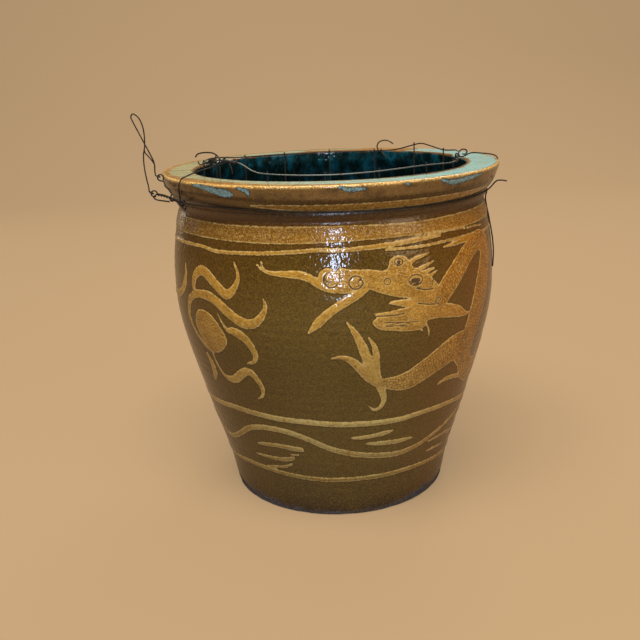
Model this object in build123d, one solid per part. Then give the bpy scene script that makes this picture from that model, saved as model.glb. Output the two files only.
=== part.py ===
from build123d import *
import math
import os

# A large glazed stoneware jar with a welded wire cage tied into its mouth.
# Units are millimetres and +Z is up. The origin is the centre of the flat foot,
# where the jar stands, and -Y is the side that carries the painted dragon.
os.makedirs("parts", exist_ok=True)

# Driving sizes of the jar
height = 490.0
foot_r = 164.5
belly_r = 238.0
neck_r = 224.0
rim_r = 246.0
mouth_r = 199.0
wall = 14.0
floor_thickness = 18.0
rim_depth = 48.0
crease_depth = 36.0

# Where the wall passes between the foot and the neck, as (distance from the axis, height)
wall_stations = [
    (foot_r + 10.3, 57), (foot_r + 37.4, 149), (belly_r - 4.4, 272), (belly_r, 348), (belly_r - 6.1, 404),
]

# Driving sizes of the wire cage
cage_r = 186.0
cage_wire_d = 2.0
mesh = 75.0
upright_stub = 3.5
weld_depth = 0.35
cage_gap_angle = 4.0
cage_drop = 10.0

# Driving sizes of the tie wires
tie_d = 2.0
loop_d = 1.8
eye_r = 4.3
hinge_eye_r = 3.3
twist_r = 1.3
twist_turns = 5
wrap_slack = 0.7
neck_wire_r = neck_r + 7.2
neck_wire_z = height - crease_depth
roll_slope = 0.78

# The cage's top wire as (angle round the jar, height), from the right-hand end clockwise
top_wire_route = [
    (-5, 498.5), (-14, 492.5), (-26, 493.5), (-37, 496.0), (-49, 498.0), (-61, 497.5),
    (-74, 496.0), (-88, 495.0), (-102, 495.5), (-113, 496.5), (-121.5, 498.0), (-129, 510.5),
    (-138, 513.0), (-148, 509.5), (-158, 505.0), (-169, 501.0), (-181, 499.0), (-192, 500.0),
    (-203, 498.0), (-214, 493.5), (-226, 491.5), (-240, 490.5), (-254, 489.5), (-268, 490.5),
    (-282, 489.5), (-295, 490.5), (-306, 492.5), (-315, 500.0), (-322, 505.5), (-331, 501.0),
    (-340, 497.5), (-349, 499.5), (-357, 502.5), (-366, 503.2),
]

# Angles of the cage's uprights, anticlockwise from +X
upright_angles = [18, 42, 66, 90, 114, 138, 162, 188, 216, 244, 268, 290, 314, 340]


def polar(angle, radius, z):
    """A point given by its angle round the jar, its distance from the axis and its height."""
    a = math.radians(angle)
    return Vector(radius * math.cos(a), radius * math.sin(a), z)


def bend_radii(points):
    """The largest bend that fits at each inner point of a wire's route."""
    radii = []
    for before, corner, after in zip(points, points[1:], points[2:]):
        run_in = corner - before
        run_out = after - corner
        half_turn = math.radians(run_in.get_angle(run_out)) / 2
        radii.append(0.45 * min(run_in.length, run_out.length) / math.tan(half_turn))
    return radii


def bent_wire(points, diameter):
    """A round wire along straight runs joined by tangent bends."""
    points = [Vector(p) for p in points]
    radii = bend_radii(points)
    path = FilletPolyline(*points, radius=radii)
    section = Plane(origin=path @ 0, z_dir=path % 0) * Circle(diameter / 2)
    print(f"  wire of {path.length:.0f} mm, tightest bend {min(radii):.1f} mm")
    return sweep(section, path=path)


def turn_points(centre, across, up, radius, start, end, step=40):
    """Points on a round turn of wire in the plane of two directions, angles in degrees."""
    count = max(2, round(abs(end - start) / step))
    # the bends cut inside the points, so these stand a little outside the turn
    reach = radius / math.cos(math.radians((end - start) / count / 2)) ** 0.5
    points = []
    for i in range(count + 1):
        a = math.radians(start + (end - start) * i / count)
        points.append(centre + across * (reach * math.cos(a)) + up * (reach * math.sin(a)))
    return points


def top_wire_at(angle):
    """The middle of the cage's top wire at an angle round the jar."""
    angle = angle % 360 - 360
    for (a0, z0), (a1, z1) in zip(top_wire_route, top_wire_route[1:]):
        if a1 <= angle <= a0:
            share = (a0 - angle) / (a0 - a1)
            return polar(angle, cage_r, z0 + share * (z1 - z0))
    return polar(angle, cage_r, top_wire_route[-1][1])


def wrap_points(first_angle, last_angle, turns, start=0.0, corners=6):
    """Turns of tie wire wound round the cage's top wire between two angles."""
    reach = cage_wire_d / 2 + tie_d / 2 + wrap_slack
    count = round(turns * corners)
    points = []
    for i in range(count + 1):
        angle = first_angle + (last_angle - first_angle) * i / count
        phase = math.radians(start + 360 / corners * i)
        out = polar(angle, 1, 0)
        points.append(top_wire_at(angle) + out * (reach * math.cos(phase))
                      + Vector(0, 0, 1) * (reach * math.sin(phase)))
    return points


def jar_body():
    """The thrown jar: flat foot, swelling wall, drawn-in neck and heavy rolled rim."""
    base_r = foot_r - 3.5
    foot_top = (foot_r, 4)
    neck = (neck_r, height - rim_depth)
    below_crease = (neck_r + 5.2, height - crease_depth - 2)
    above_crease = (neck_r + 6.6, height - crease_depth + 1.6)
    roll_top = (rim_r - 4.0, height - 14.5)
    edge_low = (rim_r, height - 2.8)
    edge_in = (rim_r - 2.6, height)
    base = Line((0, 0), (base_r, 0))
    foot_edge = ThreePointArc((base_r, 0), (foot_r - 1.2, 1.2), foot_top)
    body = Spline(foot_top, *wall_stations, neck)
    # the neck flares out to a narrow crease, where the heavy roll of the rim begins
    flare = ThreePointArc(neck, (neck_r + 3.6, height - rim_depth + 4.6), below_crease)
    crease = ThreePointArc(below_crease, (neck_r + 4.8, height - crease_depth - 0.2), above_crease)
    roll = ThreePointArc(above_crease, (rim_r - 8.0, height - 24.8), roll_top)
    face = Line(roll_top, edge_low)
    edge = ThreePointArc(edge_low, (rim_r - 0.7, height - 0.8), edge_in)

    lip_in = (mouth_r + 4, height)
    lip_low = (mouth_r, height - 4)
    lip_under = (mouth_r, height - 17)
    throat = (neck_r - wall, height - rim_depth + 4)
    inner_stations = [(r - wall, z) for r, z in reversed(wall_stations)]
    floor_edge = (foot_r - 40, floor_thickness)
    top = Line(edge_in, lip_in)
    lip = ThreePointArc(lip_in, (mouth_r + 1.2, height - 1.2), lip_low)
    lip_face = Line(lip_low, lip_under)
    under_lip = ThreePointArc(lip_under, (mouth_r + 3, height - 27), throat)
    inside = Spline(throat, *inner_stations)
    heel = ThreePointArc(inner_stations[-1], (foot_r - wall - 3, 29), floor_edge)
    floor_line = Line(floor_edge, (0, floor_thickness))
    axis_line = Line((0, floor_thickness), (0, 0))
    outline = make_face([
        base, foot_edge, body, flare, crease, roll, face, edge,
        top, lip, lip_face, under_lip, inside, heel, floor_line, axis_line,
    ])
    return revolve(Plane.XZ * outline, Axis.Z)


def cage_ring(z):
    """A level wire of the cage, open where the strip's two ends meet."""
    first = cage_gap_angle
    last = 360 - cage_gap_angle
    path = ThreePointArc(polar(first, cage_r, z), polar(180, cage_r, z), polar(last, cage_r, z))
    section = Plane(origin=path @ 0, z_dir=path % 0) * Circle(cage_wire_d / 2)
    return sweep(section, path=path)


def cage_top_wire():
    """The cage's top wire, kinked and lifted where it was pulled about."""
    # the runs touch the cage's circle halfway, so the corners stand outside it
    reach = cage_r / math.cos(math.radians(5.8))
    return bent_wire([polar(a, reach, z) for a, z in top_wire_route], cage_wire_d)


def cage_upright(angle):
    """One straight upright, welded inside the level wires, with a cut stub at each end."""
    bottom = height - 2 * mesh - cage_drop
    top = top_wire_at(angle).Z + upright_stub
    radius = cage_r - cage_wire_d + weld_depth
    foot = polar(angle, radius, bottom)
    return Location(foot) * Cylinder(cage_wire_d / 2, top - bottom, align=(Align.CENTER, Align.CENTER, Align.MIN))


# The wire round the neck has its two ends twisted together on the left
twist_line = [
    Vector(-195.0, -145.9, 460.0), Vector(-203.6, -136.2, 461.0), Vector(-216.0, -121.0, 463.5),
    Vector(-229.0, -105.5, 465.5), Vector(-240.5, -94.0, 466.0),
]

# The two eyes that carry the hanging loop, both facing the front of the jar
eye_a = Vector(-234.3, -90.0, 488.5)
eye_b = Vector(-245.2, -90.0, 466.6)
X = Vector(1, 0, 0)
Y = Vector(0, 1, 0)
Z = Vector(0, 0, 1)


def eye_point(centre, angle):
    """A point on the wire of an eye that faces the front, its angle counted from +X."""
    a = math.radians(angle)
    return centre + X * (eye_r * math.cos(a)) + Z * (eye_r * math.sin(a))


# The loop hooks round the outer side of each eye and swings on the line through both places
hinge_a = eye_point(eye_a, 150)
hinge_b = eye_point(eye_b, 160)
hinge_axis = (hinge_a - hinge_b).normalized()
hinge_out = Y.cross(hinge_axis).normalized() * -1


def along(line, share):
    """The point at a share of the way along a line of points, and the direction there."""
    lengths = [(b - a).length for a, b in zip(line, line[1:])]
    left = share * sum(lengths)
    for start, end, length in zip(line, line[1:], lengths):
        if left <= length:
            return start + (end - start) * (left / length), (end - start).normalized()
        left -= length
    return line[-1], (line[-1] - line[-2]).normalized()


def strand_points(phase, corners=5):
    """One strand of the twisted pair, winding round the twist line."""
    count = twist_turns * corners
    points = []
    for i in range(count + 1):
        middle, direction = along(twist_line, i / count)
        side = direction.cross(Z).normalized()
        above = side.cross(direction)
        a = math.radians(phase + 360 / corners * i)
        points.append(middle + side * (twist_r * math.cos(a)) + above * (twist_r * math.sin(a)))
    return points


def crease_points(first, last, count, first_rise=0.0):
    """Points in the crease under the rim. A rise at the first one lifts the wire up the roll."""
    half_step = math.radians((last - first) / count / 2)
    points = []
    for i in range(count + 1):
        rise = first_rise * (1 - i / count)
        reach = (neck_wire_r + roll_slope * rise) / math.cos(half_step)
        points.append(polar(first + (last - first) * i / count, reach, neck_wire_z + rise))
    return points


def neck_wire_front():
    """From an eye on the left, through the twist and the front crease, to a cut end on the right."""
    eye = turn_points(eye_b, X, Z, eye_r, 300, -10)
    # the twist holds the wire up on the left, so it sinks into the crease little by little
    leave_twist = [polar(-138.5, 239.8, 459.2), polar(-133.0, 237.0, 459.2)]
    sinking = crease_points(-127, -70, 7, first_rise=5.0)
    crease = crease_points(-61, -36, 3)
    cut_end = [
        polar(-27.0, 232.0, 454.0), polar(-20.0, 233.2, 454.2), polar(-15.5, 235.6, 456.0),
        polar(-12.4, 239.4, 460.0), polar(-11.0, 243.2, 462.6), polar(-11.2, 249.6, 463.0),
        polar(-11.7, 256.6, 462.0),
    ]
    return bent_wire(eye + strand_points(0)[::-1] + leave_twist + sinking + crease + cut_end, tie_d)


def neck_wire_back():
    """From a tail beside the lower eye, through the twist and round the back, to a tail on the right."""
    tail = [
        Vector(-221.5, -108.5, 457.5), Vector(-231.5, -101.0, 457.8), Vector(-240.5, -95.5, 458.5),
        Vector(-245.0, -95.0, 460.8), Vector(-244.5, -96.8, 463.8),
    ]
    side = Z.cross(polar(-143, 1, 0))
    turn = turn_points(polar(-142.2, 245.4, 456.2), side, Z, 3.8, 60, -80)
    into_crease = [polar(-149.5, 237.6, 453.6), polar(-156, 232.6, 453.8)]
    crease = crease_points(-164, -340, 15)
    round_tie = [
        polar(-347.0, 232.0, 451.6), polar(-353.0, 232.8, 447.8), polar(-358.5, 232.8, 446.6),
        polar(-363.5, 231.4, 445.6), polar(-367.3, 228.8, 443.2), polar(-369.3, 226.8, 438.0),
    ]
    down_wall = [
        polar(-370.2, 228.8, 426.0), polar(-370.5, 232.4, 411.0), polar(-370.6, 235.9, 393.0),
        polar(-370.7, 238.6, 378.0), polar(-370.9, 240.2, 362.0), polar(-370.9, 240.0, 348.0),
        polar(-370.8, 239.4, 336.5),
    ]
    return bent_wire(tail + strand_points(180)[::-1] + turn + into_crease + crease + round_tie + down_wall, tie_d)


def left_tie_wire():
    """From the cage's top wire, over the rim, to an eye round the twisted wires at the neck."""
    wrap = wrap_points(-130.5, -134.5, 2)
    over_rim = [
        polar(-138.5, 190.5, 508.0), Vector(-154.5, -109.0, 503.5), Vector(-168.0, -107.0, 500.0),
        Vector(-180.5, -118.0, 497.4), Vector(-188.0, -134.0, 495.3), Vector(-194.5, -151.0, 493.6),
        Vector(-198.2, -156.0, 487.0), Vector(-199.0, -154.2, 479.0), Vector(-198.6, -152.8, 471.5),
    ]
    end, direction = along(twist_line, 0)
    outward = Z.cross(direction).normalized()
    eye = turn_points(end + direction * 2.2 + outward * 0.9, outward, Z, 3.6, 30, -250)
    return bent_wire(wrap + over_rim + eye, tie_d)


def left_knot_wire():
    """Turns round the cage's top wire, one tail inside the mouth, the other along the wire."""
    inside_tail = [polar(-157.0, 181.5, 487.0), polar(-155.8, 182.0, 494.0), polar(-154.6, 181.5, 500.5)]
    wrap = wrap_points(-153.5, -146.5, 3.5, start=150)
    side_tail = [
        polar(-149.5, 189.5, 506.5), polar(-156, 190.2, 503.8), polar(-163, 190.4, 500.2),
        polar(-169.5, 191.0, 499.6), polar(-172.4, 192.4, 502.2),
    ]
    return bent_wire(inside_tail + wrap + side_tail, tie_d)


def left_loose_wire():
    """A loose end that arches over the rim from two turns round the cage's top wire."""
    inside_tail = [polar(-136.0, 181.0, 494.0), polar(-136.6, 180.6, 500.0), polar(-137.8, 181.0, 507.0)]
    wrap = wrap_points(-137.8, -140.8, 1.5, start=200)
    arch = [
        Vector(-151.5, -111.8, 518.4), Vector(-158.5, -103.8, 521.0), Vector(-167.2, -96.0, 521.0),
        Vector(-175.6, -88.0, 520.0), Vector(-182.6, -80.5, 517.8), Vector(-186.2, -75.0, 513.6),
    ]
    return bent_wire(inside_tail + wrap + arch, tie_d)


def right_knot_wire():
    """Turns round the cage's top wire by the strip's ends, with an open pear-shaped loop above."""
    inside_tail = [polar(-17.4, 183.0, 484.0), polar(-16.6, 182.4, 488.5)]
    wrap = wrap_points(-17.5, -12.5, 2.67, start=180)
    pear = [
        Vector(185.0, -31.0, 499.0), Vector(187.0, -25.0, 503.2), Vector(192.0, -21.0, 506.0),
        Vector(197.6, -19.4, 505.2), Vector(200.0, -19.4, 501.8), Vector(197.4, -19.8, 498.4),
        Vector(192.8, -20.6, 498.8),
    ]
    return bent_wire(inside_tail + wrap + pear, tie_d)


def right_tie_wire():
    """From the strip's ends over the rim and down to the neck wire, behind the right edge."""
    wrap = wrap_points(-8.0, -5.2, 1.5, start=180)
    over_rim = [
        Vector(191.0, -8.5, 493.4), Vector(197.6, -4.5, 494.0), Vector(204.6, 2.0, 496.6),
        Vector(211.8, 6.0, 498.0), Vector(223.2, 12.0, 496.2), Vector(235.4, 16.0, 494.6),
        Vector(244.0, 14.0, 493.2), Vector(249.2, 8.5, 490.0), Vector(248.8, 5.5, 483.0),
        Vector(245.2, 9.0, 471.5), Vector(240.4, 13.0, 459.5),
    ]
    side = polar(3.6, 1, 0)
    hook = turn_points(polar(3.6, 232.8, 447.0), side, Z, 2.6, 30, -200)
    return bent_wire(wrap + over_rim + hook, tie_d)


def back_hook_wire():
    """An open hook at the back: a turn round the top wire, an arch above it and a short tail inside."""
    arch = [
        polar(55.5, 186.5, 502.0), polar(57.6, 186.0, 506.4), polar(60.2, 186.0, 508.2),
        polar(63.4, 186.0, 505.4), polar(65.0, 187.8, 498.5),
    ]
    wrap = wrap_points(64.4, 61.8, 1.5, start=20)
    tail = [polar(60.6, 181.6, 486.0), polar(59.0, 182.4, 480.0)]
    return bent_wire(arch + wrap + tail, tie_d)


def loop_anchor_wire():
    """The upper eye and its stem, which runs down the rim's face and hooks round the twist."""
    eye = turn_points(eye_a, X, Z, eye_r, -50, 262)
    stem = [
        Vector(-229.6, -92.6, 483.6), Vector(-228.0, -96.6, 477.4), Vector(-222.8, -107.5, 475.8),
        Vector(-217.6, -117.0, 474.2), Vector(-214.6, -123.0, 469.6),
    ]
    middle, direction = along(twist_line, 0.44)
    outward = Z.cross(direction).normalized()
    hook = turn_points(middle, outward, Z, 3.2, 20, -200)
    return bent_wire(eye + stem + hook, tie_d)


def hanging_loop():
    """The long wire loop: a hook round each eye and two legs that cross below the bight."""
    hook_a = turn_points(hinge_a, hinge_out, Y, hinge_eye_r, 60, 350)
    hook_b = turn_points(hinge_b, hinge_out, Y, hinge_eye_r, -350, -60)
    legs = [
        Vector(-241.2, -91.4, 498.0), Vector(-240.6, -91.4, 509.0), Vector(-245.2, -91.6, 520.5),
        Vector(-249.5, -92.0, 530.0), Vector(-253.6, -92.0, 539.5), Vector(-262.6, -91.0, 559.0),
        Vector(-268.0, -90.2, 571.5), Vector(-264.6, -89.8, 576.4), Vector(-257.0, -89.2, 570.5),
        Vector(-253.0, -88.6, 560.0), Vector(-251.6, -88.2, 547.5), Vector(-252.6, -88.0, 531.0),
        Vector(-255.4, -88.6, 521.0), Vector(-255.9, -89.2, 510.0), Vector(-255.2, -89.6, 497.0),
        Vector(-253.4, -89.4, 483.0), Vector(-252.0, -89.0, 475.5),
    ]
    return bent_wire(hook_a + legs + hook_b, loop_d)


def loop_cross_wire():
    """The wire's spare end, laid across between the two legs."""
    return bent_wire([
        Vector(-254.4, -86.6, 527.0), Vector(-253.6, -86.8, 523.0), Vector(-246.0, -88.4, 514.4),
        Vector(-241.6, -89.4, 508.0), Vector(-240.8, -89.4, 502.5),
    ], loop_d)


parts = {"jar_body": jar_body()}
parts["cage_ring_top"] = cage_top_wire()
parts["cage_ring_middle"] = cage_ring(height - mesh)
parts["cage_ring_bottom"] = cage_ring(height - 2 * mesh)
for number, angle in enumerate(upright_angles, start=1):
    parts[f"cage_upright_{number:02d}"] = cage_upright(angle)
for make in (
    neck_wire_front, neck_wire_back, left_tie_wire, left_knot_wire, left_loose_wire,
    right_knot_wire, right_tie_wire, back_hook_wire, loop_anchor_wire, hanging_loop, loop_cross_wire,
):
    print(make.__name__)
    parts[make.__name__] = make()

for name, shape in parts.items():
    export_step(shape, f"parts/{name}.step")
    print(f"{name}: volume {shape.volume / 1000:.2f} cm3, {len(shape.solids())} solid")
print("hinge line from", hinge_b, "to", hinge_a)
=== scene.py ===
# %% [markdown]
# # A martaban jar with a wire cage
#
# A martaban is a very large storage jar. This one is stoneware: thrown on a wheel, painted with
# ochre slip, covered with a brown iron glaze and fired once. Somebody has since set a strip of
# welded wire mesh in its mouth and tied it down round the neck.
#
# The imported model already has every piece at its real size. This lesson gives the pieces their
# looks. The wires keep their shapes and get a finish. The clay wall is made again as one fine
# mesh, so that the painted slip can stand up from it.

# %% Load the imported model
import math

import bpy
import numpy as np
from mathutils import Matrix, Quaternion, Vector


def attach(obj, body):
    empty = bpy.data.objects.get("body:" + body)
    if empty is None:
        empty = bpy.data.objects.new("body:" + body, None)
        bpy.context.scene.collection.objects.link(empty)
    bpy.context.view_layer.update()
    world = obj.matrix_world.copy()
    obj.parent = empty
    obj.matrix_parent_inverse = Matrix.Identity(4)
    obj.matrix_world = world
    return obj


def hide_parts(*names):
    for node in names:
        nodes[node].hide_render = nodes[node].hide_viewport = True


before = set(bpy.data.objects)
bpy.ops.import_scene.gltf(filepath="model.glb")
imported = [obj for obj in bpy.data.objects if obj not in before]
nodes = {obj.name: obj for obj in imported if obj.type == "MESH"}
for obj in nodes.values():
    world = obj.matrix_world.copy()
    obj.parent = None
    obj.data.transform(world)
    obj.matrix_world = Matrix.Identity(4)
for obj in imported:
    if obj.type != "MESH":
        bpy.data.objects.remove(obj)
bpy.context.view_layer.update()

# %% [markdown]
# ## The camera
#
# The rim and the foot of a thrown jar are true circles, so their ellipses in a photograph say
# where the camera stood. It stood about a metre and a quarter in front of the jar, a little above
# the rim, and was tilted two degrees. It could be set by eye instead, but the painting only falls
# into its place when the view is right.

# %% The camera
MM = 0.001
CAMERA_PLACE = Vector((0, -1262.2, 623.2)) * MM
CAMERA_LOOKS = Vector((-0.0176, 0.9586, -0.2842))
CAMERA_ROLL = -2.19
CAMERA_LENS = 47.43

lens = bpy.data.cameras.new("camera")
lens.lens = CAMERA_LENS
lens.sensor_width = 36
camera = bpy.data.objects.new("camera", lens)
bpy.context.scene.collection.objects.link(camera)
camera.rotation_mode = "QUATERNION"
level_view = CAMERA_LOOKS.to_track_quat("-Z", "Y")
camera.rotation_quaternion = level_view @ Quaternion((0, 0, 1), math.radians(CAMERA_ROLL))
camera.location = CAMERA_PLACE
bpy.context.scene.camera = camera
print("camera at", tuple(round(v, 3) for v in camera.location))

# %% [markdown]
# ## Colours and nodes
#
# Paint charts and photographs give colours as sRGB hex values. Shaders want linear light, so one
# function turns the one into the other. A second one adds a node with its settings and links.
# Nodes could also be wired by hand in the editor, but a script can be read, compared and run
# again. The kinds of node that are used most get short names.

# %% Helpers for materials
MATH = "ShaderNodeMath"
VECTORS = "ShaderNodeVectorMath"
RANGE = "ShaderNodeMapRange"
MIX = "ShaderNodeMix"
NOISE = "ShaderNodeTexNoise"
CELLS = "ShaderNodeTexVoronoi"


def linear(code):
    """An sRGB hex colour as linear red, green, blue and alpha."""
    values = [int(code[i:i + 2], 16) / 255 for i in (1, 3, 5)]
    return [v / 12.92 if v <= 0.04045 else ((v + 0.055) / 1.055) ** 2.4 for v in values] + [1.0]


def shown(value):
    """A node's first output that is in use, or the value itself."""
    if isinstance(value, bpy.types.Node):
        return next(s for s in value.outputs if s.enabled)
    return value


def node(tree, kind, links=(), stops=(), **settings):
    """Adds a node. Its links go by name, or in a list by the order of the sockets that are in
    use. Each is a value, a colour code, a socket or another node."""
    made = tree.nodes.new(kind)
    for name, value in settings.items():
        setattr(made, name, value)
    open_sockets = [s for s in made.inputs if s.enabled]
    by_name = {s.name: s for s in reversed(open_sockets)}
    pairs = links.items() if isinstance(links, dict) else enumerate(links)
    for key, value in pairs:
        socket = by_name[key] if isinstance(key, str) else open_sockets[key]
        value = shown(value)
        if isinstance(value, bpy.types.NodeSocket):
            tree.links.new(value, socket)
        else:
            socket.default_value = linear(value) if isinstance(value, str) else value
    for i, (place, colour) in enumerate(stops):
        ramp = made.color_ramp.elements
        stop = ramp[i] if i < 2 else ramp.new(place)
        stop.position = place
        stop.color = linear(colour)
    return made


def new_material(name):
    """A node material with a Principled shader. Gives its tree, shader and object coordinates."""
    material = bpy.data.materials.new(name)
    material.use_nodes = True
    tree = material.node_tree
    tree.nodes.clear()
    shader = node(tree, "ShaderNodeBsdfPrincipled")
    node(tree, "ShaderNodeOutputMaterial", {"Surface": shader})
    place = node(tree, "ShaderNodeTexCoord").outputs["Object"]
    return material, tree, shader, place


print("mid grey in linear light:", round(linear("#808080")[0], 3))

# %% [markdown]
# ## The studio
#
# A glossy glaze shows its surroundings, so the lamps decide how it looks. A tall narrow softbox in
# front stands for the window that gives the pale streak down the middle of the wall. The floor
# runs up behind the jar in one curve, so that the camera sees no horizon. It could be a flat plane
# and a wall, but their meeting line would cross the picture. About half of the paper's brightness
# is shown only to the camera and, weaker, in reflections. That evens it out and throws no light
# on the jar.

# %% Floor and backdrop
def make_sweep(width, front, back, height, bend):
    """A floor that curves up into a back wall."""
    steps = 32
    line = [(-front, 0.0), (back - bend, 0.0)]
    for i in range(1, steps + 1):
        a = math.pi / 2 * i / steps
        line.append((back - bend + bend * math.sin(a), bend - bend * math.cos(a)))
    line.append((back, height))
    points = [(x, y, z) for y, z in line for x in (-width, width)]
    faces = [(2 * i, 2 * i + 1, 2 * i + 3, 2 * i + 2) for i in range(len(line) - 1)]
    mesh = bpy.data.meshes.new("studio_floor")
    mesh.from_pydata(points, [], faces)
    for face in mesh.polygons:
        face.use_smooth = True
    return bpy.data.objects.new("studio_floor", mesh)


floor = make_sweep(width=7.0, front=5.0, back=6.0, height=5.0, bend=3.0)
bpy.context.scene.collection.objects.link(floor)
PAPER = "#7A664E"
PAPER_SHOWN = "#BFA17B"
SHARE_SHOWN = 0.54
SHARE_IN_GLOSS = 0.45
paper, tree, shader, place = new_material("matt_background_paper")
shader.inputs["Base Color"].default_value = linear(PAPER)
shader.inputs["Roughness"].default_value = 0.9
shader.inputs["Specular IOR Level"].default_value = 0.1
shader.inputs["Emission Color"].default_value = linear(PAPER_SHOWN)
rays = node(tree, "ShaderNodeLightPath").outputs
in_gloss = node(tree, MATH, [rays["Is Glossy Ray"], SHARE_IN_GLOSS], operation="MULTIPLY")
seen = node(tree, MATH, [rays["Is Camera Ray"], in_gloss], operation="MAXIMUM")
only_seen = node(tree, MATH, [seen, SHARE_SHOWN], operation="MULTIPLY")
tree.links.new(shown(only_seen), shader.inputs["Emission Strength"])
floor.data.materials.append(paper)
print("floor and backdrop:", len(floor.data.polygons), "faces")

# %% [markdown]
# ### Lamps
#
# The wide softbox far overhead lights everything evenly and draws the bright line round the rim.
# Weaker ones fill in the right side, the left edge and the back of the jar, and the last lights
# the backdrop. One bright lamp alone would leave the sides black. The air of the studio is kept
# dim, because a bright room would lie over the dark glaze like a haze. The camera sees the sky
# beyond the paper in the paper's colour, so that the paper's edge hardly shows from the side.

# %% Lamps
def softbox(name, place, aim, width, height, power, colour):
    """A rectangular area lamp that faces a point."""
    lamp = bpy.data.lights.new(name, "AREA")
    lamp.shape = "RECTANGLE"
    lamp.size, lamp.size_y = width, height
    lamp.energy = power
    lamp.color = linear(colour)[:3]
    stand = bpy.data.objects.new(name, lamp)
    stand.location = place
    stand.rotation_mode = "QUATERNION"
    stand.rotation_quaternion = (Vector(aim) - Vector(place)).to_track_quat("-Z", "Y")
    bpy.context.scene.collection.objects.link(stand)


JAR_MIDDLE = (0, 0, 0.3)
WALL_MIDDLE = (0, 5.5, 1.2)
# Name, place, what it faces, width, height, watts and colour.
LAMPS = [
    ("window", (0.1, -3.2, 0.7), JAR_MIDDLE, 0.24, 1.3, 38, "#CCE0FF"),
    ("overhead", (-0.4, -1.6, 4.2), JAR_MIDDLE, 3.2, 2.2, 278, "#FFF2DE"),
    ("left_edge", (-2.1, 2.4, 0.7), JAR_MIDDLE, 0.5, 1.2, 2, "#FFF0DC"),
    ("right_fill", (2.6, -2.2, 1.6), JAR_MIDDLE, 1.7, 2.0, 24, "#FFE6C4"),
    ("back_fill", (1.2, 3.2, 3.0), JAR_MIDDLE, 1.6, 1.6, 45, "#FFF0DC"),
    ("backdrop_lamp", (0, 1.5, 4.2), WALL_MIDDLE, 4.0, 1.0, 120, "#FFF8EE"),
]
for lamp in LAMPS:
    softbox(*lamp)

world = bpy.data.worlds.new("studio_air")
bpy.context.scene.world = world
world.use_nodes = True
AIR = "#F2EADF"
AIR_STRENGTH = 0.08
sky = world.node_tree
seen_sky = node(sky, "ShaderNodeLightPath").outputs["Is Camera Ray"]
sky_colour = node(sky, MIX, [seen_sky, AIR, PAPER_SHOWN], data_type="RGBA")
sky_strength = node(sky, RANGE, [seen_sky, 0, 1, AIR_STRENGTH, 1.0])
sky.links.new(shown(sky_colour), sky.nodes["Background"].inputs["Color"])
sky.links.new(shown(sky_strength), sky.nodes["Background"].inputs["Strength"])
bpy.context.scene.view_settings.view_transform = "Standard"
print("lamps:", len(LAMPS))

# %% [markdown]
# ## The jar's section
#
# A potter's jar is one line spun round an axis. The solid's own faces are long and uneven, so
# they can't carry painted relief. The same line as the solid's is drawn here again, with short
# steps where the paint goes. Three-point arcs make the rolls of the rim, and a smooth line through
# a few measured points makes the wall.

# %% Sizes of the jar in millimetres
HEIGHT = 490.0
FOOT_R = 164.5
BELLY_R = 238.0
NECK_R = 224.0
RIM_R = 246.0
MOUTH_R = 199.0
WALL = 14.0
FLOOR_THICKNESS = 18.0
NECK_Z = HEIGHT - 48
CREASE_Z = HEIGHT - 36
GIRTH = 2 * math.pi * BELLY_R
print("girth at the belly:", round(GIRTH), "mm")

# %% [markdown]
# ### Lines for the section
#
# The section needs two kinds of line. A smooth line passes through all its points, as the wall
# does between the potter's hands. An arc is fixed by where it starts, one point on the way and
# where it ends, which is how a roll of clay is measured.

# %% Lines for the section
SAME_PLACE = 0.05


def smooth_line(points, step):
    """Points at about one step along a smooth line through given points of any dimension."""
    p = np.array(points, float)
    p = np.vstack([2 * p[0] - p[1], p, 2 * p[-1] - p[-2]])
    line = []
    for a, b, c, d in zip(p, p[1:], p[2:], p[3:]):
        count = max(1, round(float(np.linalg.norm((c - b)[:2])) / step))
        for t in np.arange(count) / count:
            line.append(0.5 * (2 * b + (c - a) * t + (2 * a - 5 * b + 4 * c - d) * t ** 2
                               + (3 * b - a - 3 * c + d) * t ** 3))
    return np.array(line + [p[-2]])


def arc_line(start, middle, end, step):
    """Points on the arc through three points."""
    (ax, ay), (bx, by), (cx, cy) = start, middle, end
    four_areas = 2 * (ax * (by - cy) + bx * (cy - ay) + cx * (ay - by))
    a_square, b_square, c_square = (x ** 2 + y ** 2 for x, y in (start, middle, end))
    centre_x = (a_square * (by - cy) + b_square * (cy - ay) + c_square * (ay - by)) / four_areas
    centre_y = (a_square * (cx - bx) + b_square * (ax - cx) + c_square * (bx - ax)) / four_areas
    radius = math.hypot(ax - centre_x, ay - centre_y)
    first, half, last = (math.atan2(y - centre_y, x - centre_x) for x, y in (start, middle, end))
    turn = (last - first) % (2 * math.pi)
    if (half - first) % (2 * math.pi) > turn:
        turn -= 2 * math.pi
    count = max(3, round(radius * abs(turn) / step))
    angles = first + turn * np.arange(count + 1) / count
    return np.column_stack([centre_x + radius * np.cos(angles),
                            centre_y + radius * np.sin(angles)])


def joined(lines):
    """Lines end to end, without the doubled points where they meet."""
    points = np.vstack(lines)
    keep = np.ones(len(points), bool)
    keep[1:] = np.linalg.norm(np.diff(points, axis=0), axis=1) > SAME_PLACE
    return points[keep]


quarter = arc_line((1, 0), (math.sqrt(0.5), math.sqrt(0.5)), (0, 1), 0.01)
quarter_length = np.linalg.norm(np.diff(quarter, axis=0), axis=1).sum()
print("a quarter of a circle with radius 1 measures", round(float(quarter_length), 3))

# %% [markdown]
# ### The section of the jar
#
# The line starts under the foot, climbs the wall and the rolls of the rim, and goes down the
# inside to the middle of the floor. The outside has a step of 2 mm, because its paint is seen
# close up. The inside is only glazed, so 7 mm is enough there.

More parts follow.
